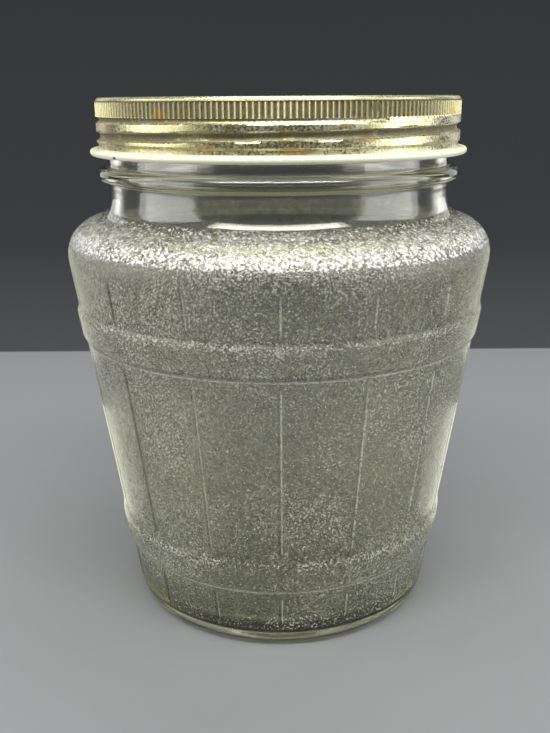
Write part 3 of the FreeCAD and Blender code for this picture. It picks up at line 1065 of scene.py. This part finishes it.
# ---------------------------------------------------------------- metal and enamel
# marks on the lid: angle from the front in degrees, drop below the lid's top,
# half width along the skirt and half height, in millimetres
RUST_MARKS = (
    (27, 2.8, 1.6, 1.3), (9, 13.8, 3.5, 0.8), (-31, 9.6, 5, 0.7), (-52, 12.4, 4, 0.9),
    (48, 12.8, 5, 0.7), (-12, 13.2, 3, 0.6), (140, 3, 2, 1.2), (200, 13, 4, 0.8),
    (95, 12.6, 3, 0.8), (255, 6, 2.5, 0.8), (170, 9, 3, 0.7),
)
STAINS = (
    (-34, 4.8, 2.6, 1.7), (18, 7.3, 2.2, 0.8), (25, 10.8, 2.4, 0.9), (-68, 7.3, 3, 1.2),
    (5, 13.4, 5, 0.9), (62, 4.6, 2.4, 1.2), (120, 7.5, 3, 1), (185, 4.5, 2.5, 1.6),
    (230, 11, 3, 0.9), (-20, 12.6, 3.5, 0.8),
)
CHIPS = (
    (-51, 16.1, 0.9, 0.35), (76, 15.7, 0.5, 0.2), (133, 15.9, 0.8, 0.3), (-148, 15.6, 0.6, 0.3),
)
MARK_EDGE = (0.75, 1.15)        # a mark fades over this span, in shares of its half size

# noise patterns: features per metre, detail and roughness
TIN_CLOUD = (110.0, 3.0, 0.6)
TIN_GRAIN = (1500.0, 2.0, 0.65)
TIN_FLAKES = (2600.0, 2.0, 0.6)
TIN_WANDER = (600.0, 3.0, 0.6)
TIN_FRECKLES = (260.0, 3.0, 0.65)
ENAMEL_CLOUD = (70.0, 3.0, 0.6)
ENAMEL_SPECKS = (1700.0, 2.0, 0.6)
ENAMEL_WANDER = (1500.0, 3.0, 0.6)
TIN_WANDERING, ENAMEL_WANDERING = 1.6, 1.4      # how far the edges of marks stray


# heights on the lid, as drops below its top in millimetres
BAND_HEAD_FADE, BAND_FOOT_FADE = 0.3, 0.05
SKIRT_FOOT = (12.4, 13.2)
TOP_EDGE = (0.5, 0.95)
# sides of the lid that are worn most, from the front in degrees, and how much
WORN_FROM, WORN_TO, WORN_MORE = (-35.0, 10.0), (120.0, 170.0), 0.06
# spans of pattern or pressed depth from none to full: wear, and in the flutes' valleys painted
# shade and roughness
GROOVE_SPAN, VALLEY_SPAN = (0.25, 0.85), (0.15, 0.9)
BARE_SPAN, TOP_BARE_SPAN = (0.53, 0.61), (0.55, 0.68)
DIRT_SPAN, FOOT_DIRT_SPAN = (0.42, 0.72), (0.45, 0.7)
FRECKLE_SPAN = (0.62, 0.68)
GRAIN_SPAN = (0.3, 0.7)
# strength of each kind of wear, and of the painted shade in the flutes' valleys
TOP_BARE, EDGE_BARE, VALLEY_SHADE, STAIN_STRENGTH = 0.7, 0.6, 0.6, 0.5
MARK_RUST, GROOVE_DIRT, FOOT_DIRT, FRECKLE_RUST, MOST_RUST = 0.6, 0.9, 0.45, 0.7, 0.85
# painted shade: the colour that the flutes' valleys are darkened towards
VALLEY_SHADE_COLOUR = (0.12, 0.10, 0.055, 1.0)
# how metallic and how rough: clean tin, then what rust, stains, grain and valleys change
TIN_METAL, RUST_METAL, STAIN_METAL = 0.86, -0.8, -0.3
TIN_ROUGH, RUST_ROUGH, GRAIN_ROUGH, VALLEY_ROUGH = 0.24, 0.5, 0.16, 0.15
FLAKE_DEPTH, FLAKE_STRENGTH = 0.02 * MM, 0.6
GRAIN_DEPTH, GRAIN_STRENGTH = 0.05 * MM, 0.5


def skirt_place(tree, place):
    """Angle from the front in degrees and drop below the lid's top in millimetres."""
    x, y, z = parts_of(tree, place)
    return turned_from_front(x, y) * math.degrees(1.0), (z - LID_HIGH.z) * (-1.0 / MM)


def marked(angle, drop, marks, wander):
    """1 inside any of the marks, with edges that wander."""
    found = []
    for mark_angle, mark_drop, wide, high in marks:
        aside = (angle - mark_angle + 180.0).wrapped(360.0) - 180.0
        across = aside / math.degrees(wide / (LID_HIGH.x / MM))
        down = (drop - mark_drop) / high
        reach = (across * across + down * down).sqrt() + wander
        found.append(1.0 - reach.ramp(*MARK_EDGE))
    return functools.reduce(Field.most, found)


def metal_material(p):
    """Old lacquered tinplate: thin gold lacquer, bare tin on high spots, rust in the grooves,
    painted shade in the flutes' valleys.
    """
    material, tree, leave = new_material("Old lacquered tin")
    place = place_of(tree)
    angle, drop = skirt_place(tree, place)
    pressed = carried(tree, "pressed")
    band_high = p.band_drop / MM
    band_low = band_high + p.band_height / MM
    head = (band_high - BAND_HEAD_FADE, band_high)
    foot = (band_low - BAND_FOOT_FADE, band_low + BAND_FOOT_FADE)
    on_top = 1.0 - drop.ramp(*head)
    below_band = drop.ramp(*foot)
    cloud = noise(tree, place, *TIN_CLOUD)
    grain = noise(tree, place, *TIN_GRAIN)
    wander = (noise(tree, place, *TIN_WANDER) - 0.5) * TIN_WANDERING
    groove = (pressed / p.groove_depth).ramp(*GROOVE_SPAN) * below_band
    valley = (pressed / p.flute_depth).ramp(*VALLEY_SPAN) * drop.band(head, foot)
    # bare tin
    worn = angle.band(WORN_FROM, WORN_TO) * WORN_MORE
    bare = (grain * 0.65 + cloud * 0.35 + worn).ramp(*BARE_SPAN) * below_band
    top_bare = (cloud * 0.7 + grain * 0.3).ramp(*TOP_BARE_SPAN) * on_top
    colour_now = mixed(tree, bare.most(top_bare * TOP_BARE), tuple(p.lacquer), tuple(p.tin))
    edge = 1.0 - drop.ramp(*TOP_EDGE)
    colour_now = mixed(tree, edge * EDGE_BARE, colour_now, tuple(p.tin))
    # painted shade in the flutes' valleys
    colour_now = mixed(tree, valley * VALLEY_SHADE, colour_now, VALLEY_SHADE_COLOUR)
    # stains, dirt and rust
    stain = marked(angle, drop, STAINS, wander)
    colour_now = mixed(tree, stain * STAIN_STRENGTH, colour_now, tuple(p.stain))
    groove_dirt = groove * (cloud + grain * 0.5).ramp(*DIRT_SPAN) * GROOVE_DIRT
    foot_dirt = drop.ramp(*SKIRT_FOOT) * grain.ramp(*FOOT_DIRT_SPAN) * FOOT_DIRT
    freckles = (noise(tree, place, *TIN_FRECKLES) * 0.6 + cloud * 0.4).ramp(*FRECKLE_SPAN)
    rust = (marked(angle, drop, RUST_MARKS, wander) * MARK_RUST).most(groove_dirt + foot_dirt)
    rust = rust.most(freckles * on_top * FRECKLE_RUST).least(1.0) * MOST_RUST
    colour_now = mixed(tree, rust, colour_now, tuple(p.rust))
    metal = TIN_METAL + rust * RUST_METAL + stain * STAIN_METAL
    rough = TIN_ROUGH + rust * RUST_ROUGH + grain.ramp(*GRAIN_SPAN) * GRAIN_ROUGH
    flaked = bumped(tree, noise(tree, place, *TIN_FLAKES), FLAKE_DEPTH, FLAKE_STRENGTH)
    finished(tree, leave, {
        "Base Color": colour_now, "Metallic": metal.most(0.0),
        "Roughness": rough + valley * VALLEY_ROUGH,
        "Normal": bumped(tree, grain, GRAIN_DEPTH, GRAIN_STRENGTH, flaked)})
    return material


ENAMEL = "Cream enamel"
ENAMEL_IOR = 1.5
AGED_ENAMEL = (0.78, 0.70, 0.45, 1.0)
SPECK_COLOUR = (0.45, 0.33, 0.16, 1.0)
CHIP_COLOUR = (0.05, 0.035, 0.02, 1.0)
AGED_SPAN, AGED_STRENGTH = (0.35, 0.75), 0.35
SPECK_SPAN, SPECK_STRENGTH = (0.70, 0.76), 0.5
ENAMEL_ROUGH, CLOUD_ROUGH, CHIP_ROUGH = 0.28, 0.12, 0.4
CLOUD_RELIEF, ENAMEL_DEPTH, ENAMEL_STRENGTH = 0.3, 0.08 * MM, 0.8


def enamel_material(p):
    """Cream stoving enamel, chipped to dark metal here and there; made once for both pieces."""
    made = bpy.data.materials.get(ENAMEL)
    if made:
        return made
    material, tree, leave = new_material(ENAMEL)
    place = place_of(tree)
    angle, drop = skirt_place(tree, place)
    wander = (noise(tree, place, *ENAMEL_WANDER) - 0.5) * ENAMEL_WANDERING
    chips = marked(angle, drop, CHIPS, wander)
    cloud = noise(tree, place, *ENAMEL_CLOUD)
    specks = noise(tree, place, *ENAMEL_SPECKS).ramp(*SPECK_SPAN)
    aged = cloud.ramp(*AGED_SPAN) * AGED_STRENGTH
    cream = mixed(tree, aged, tuple(p.enamel), AGED_ENAMEL)
    cream = mixed(tree, specks * SPECK_STRENGTH, cream, SPECK_COLOUR)
    relief = cloud * CLOUD_RELIEF - chips
    finished(tree, leave, {
        "Base Color": mixed(tree, chips, cream, CHIP_COLOUR), "IOR": ENAMEL_IOR,
        "Roughness": ENAMEL_ROUGH + cloud * CLOUD_ROUGH + chips * CHIP_ROUGH,
        "Normal": bumped(tree, relief, ENAMEL_DEPTH, ENAMEL_STRENGTH)})
    return material


# ---------------------------------------------------------------- stage
FLOOR_ROUGHNESS = 0.8
FLOOR_EDGE = 2 * MM             # half width of the pale square's soft edge
FLOOR_GAP = 0.1 * MM            # floor below the foot of the jar
FLOOR_COLUMNS = 96
SKY_STRENGTH = 0.25
AIM_HEIGHT = CAD_BOX[1].z * 0.6
NEUTRAL_LIGHT = (1.0, 1.0, 1.0)
WARM_LIGHT = (1.0, 1.0, 0.80)


def stage_material(p):
    """Pale matt floor that gives way to a darker backdrop."""
    material, tree, leave = new_material("Studio floor")
    x, y, _ = parts_of(tree, place_of(tree))
    reach = x.abs().most(y.abs())
    away = reach.ramp(p.floor_reach - FLOOR_EDGE, p.floor_reach + FLOOR_EDGE)
    finished(tree, leave, {
        "Base Color": mixed(tree, away, tuple(p.floor), tuple(p.backdrop)),
        "Roughness": FLOOR_ROUGHNESS, "Specular IOR Level": 0.0})
    return material


def stage_mesh(p):
    """A round floor that curves up into the wall of an open bowl."""
    curve = p.bowl_radius / 3
    flat = p.bowl_radius - curve
    profile = [(p.floor_reach, 0.0), (flat, 0.0)]
    for turn in range(10, 91, 10):
        angle = math.radians(turn)
        profile.append((flat + curve * math.sin(angle), curve - curve * math.cos(angle)))
    profile.append((p.bowl_radius, p.bowl_height))
    points = [(0.0, 0.0, -FLOOR_GAP)]
    for radius, height in profile:
        for column in range(FLOOR_COLUMNS):
            angle = TURN * column / FLOOR_COLUMNS
            points.append((radius * math.cos(angle), radius * math.sin(angle),
                           height - FLOOR_GAP))
    faces = []
    for column in range(FLOOR_COLUMNS):
        after = (column + 1) % FLOOR_COLUMNS
        faces.append((0, 1 + column, 1 + after))
        for ring in range(len(profile) - 1):
            low = 1 + ring * FLOOR_COLUMNS
            high = low + FLOOR_COLUMNS
            faces.append((low + column, high + column, high + after, low + after))
    mesh = bpy.data.meshes.new("studio_floor")
    mesh.from_pydata(points, [], faces)
    mesh.shade_smooth()
    return mesh


# soft lamps: name, place, width and height in metres, brightness, whether the camera sees
# them, and whether they light matt surfaces; the others show in glass and metal alone
LAMPS = (
    ("Front softbox", (0.0, -0.42, 0.82), (0.90, 0.14), 17.0, True, True),
    ("Top softbox", (0.05, 0.20, 0.95), (0.60, 0.10), 12.0, True, True),
    ("Sheen light", (0.0, -0.46, 0.76), (1.10, 0.34), 9.0, False, False),
)
# the same, one on each side of the jar
SIDE_LAMPS = (
    ("panel", (0.62, -0.14, 0.25), (0.56, 0.46), 3.2, False, True),
    ("back panel", (0.58, 0.62, 0.30), (0.30, 0.50), 1.2, False, True),
    ("edge light", (0.165, 0.13, 0.06), (0.11, 0.08), 0.8, False, False),
    ("heel light", (0.075, 0.035, 0.023), (0.05, 0.045), 1.2, False, False),
)


def add_lamp(name, place, size, brightness, seen, matt):
    """A soft rectangle of light that faces the jar."""
    data = bpy.data.lights.new(name, "AREA")
    data.shape = "RECTANGLE"
    data.size, data.size_y = size
    data.energy = brightness * math.pi * size[0] * size[1]
    data.color = NEUTRAL_LIGHT if matt else WARM_LIGHT
    lamp = bpy.data.objects.new(name, data)
    lamp.location = place
    lamp.visible_camera = seen
    lamp.visible_diffuse = matt
    aim = Vector((0, 0, AIM_HEIGHT)) - lamp.location
    lamp.rotation_euler = aim.to_track_quat("-Z", "Y").to_euler()
    bpy.context.collection.objects.link(lamp)


def add_camera(p):
    """The camera in front of the jar, looking down at it a little."""
    data = bpy.data.cameras.new("Camera")
    data.sensor_width = 36.0
    data.lens = p.lens
    data.shift_x = p.shift
    data.clip_start = 0.01
    data.clip_end = 10.0
    camera = bpy.data.objects.new("Camera", data)
    pitch = Matrix.Rotation(math.pi / 2 - p.camera_pitch, 4, "X")
    roll = Matrix.Rotation(p.camera_roll, 4, "Z")
    place = Matrix.Translation((0, -p.camera_distance, p.camera_height))
    camera.matrix_world = place @ pitch @ roll
    bpy.context.collection.objects.link(camera)
    bpy.context.scene.camera = camera


class JAR_OT_stage(bpy.types.Operator):
    """Makes the floor, the backdrop, the soft light and the camera"""
    bl_idname = "jar.stage"
    bl_label = "Stage"

    def execute(self, context):
        p = context.scene.jar_stage
        scene = context.scene
        scene.view_settings.view_transform = "Standard"
        floor = bpy.data.objects.new("studio_floor", stage_mesh(p))
        bpy.context.collection.objects.link(floor)
        floor.data.materials.append(stage_material(p))
        world = bpy.data.worlds.new("Soft sky")
        world.use_nodes = True
        sky = world.node_tree.nodes["Background"]
        sky.inputs["Color"].default_value = (*NEUTRAL_LIGHT, 1.0)
        sky.inputs["Strength"].default_value = SKY_STRENGTH
        scene.world = world
        for lamp in LAMPS:
            add_lamp(*lamp)
        for name, (x, y, z), *rest in SIDE_LAMPS:
            add_lamp("Left " + name, (-x, y, z), *rest)
            add_lamp("Right " + name, (x, y, z), *rest)
        add_camera(p)
        return {"FINISHED"}


# ---------------------------------------------------------------- panel
STEPS = ("jar.glass", "jar.lid", "jar.curl", "jar.stage")


class JAR_PT_panel(bpy.types.Panel):
    """Lists the pieces of the jar and their sizes"""
    bl_idname = "JAR_PT_panel"
    bl_label = "Barrel canning jar"
    bl_space_type = "VIEW_3D"
    bl_region_type = "UI"
    bl_category = "Jar"

    def draw(self, context):
        for step in STEPS:
            self.layout.operator(step)
        for group in (context.scene.jar_glass, context.scene.jar_lid, context.scene.jar_stage):
            box = self.layout.box()
            for name in group.bl_rna.properties.keys():
                if name not in ("rna_type", "name"):
                    box.prop(group, name)


CLASSES = (JarGlassSettings, JarLidSettings, JarStageSettings, JAR_OT_glass, JAR_OT_lid,
           JAR_OT_curl, JAR_OT_stage, JAR_PT_panel)


def register():
    for kind in CLASSES:
        bpy.utils.register_class(kind)
    bpy.types.Scene.jar_glass = PointerProperty(type=JarGlassSettings)
    bpy.types.Scene.jar_lid = PointerProperty(type=JarLidSettings)
    bpy.types.Scene.jar_stage = PointerProperty(type=JarStageSettings)


def unregister():
    del bpy.types.Scene.jar_stage
    del bpy.types.Scene.jar_lid
    del bpy.types.Scene.jar_glass
    for kind in reversed(CLASSES):
        bpy.utils.unregister_class(kind)


def main():
    register()
    for step in STEPS:
        group, name = step.split(".")
        getattr(getattr(bpy.ops, group), name)()


if __name__ == "__main__":
    main()
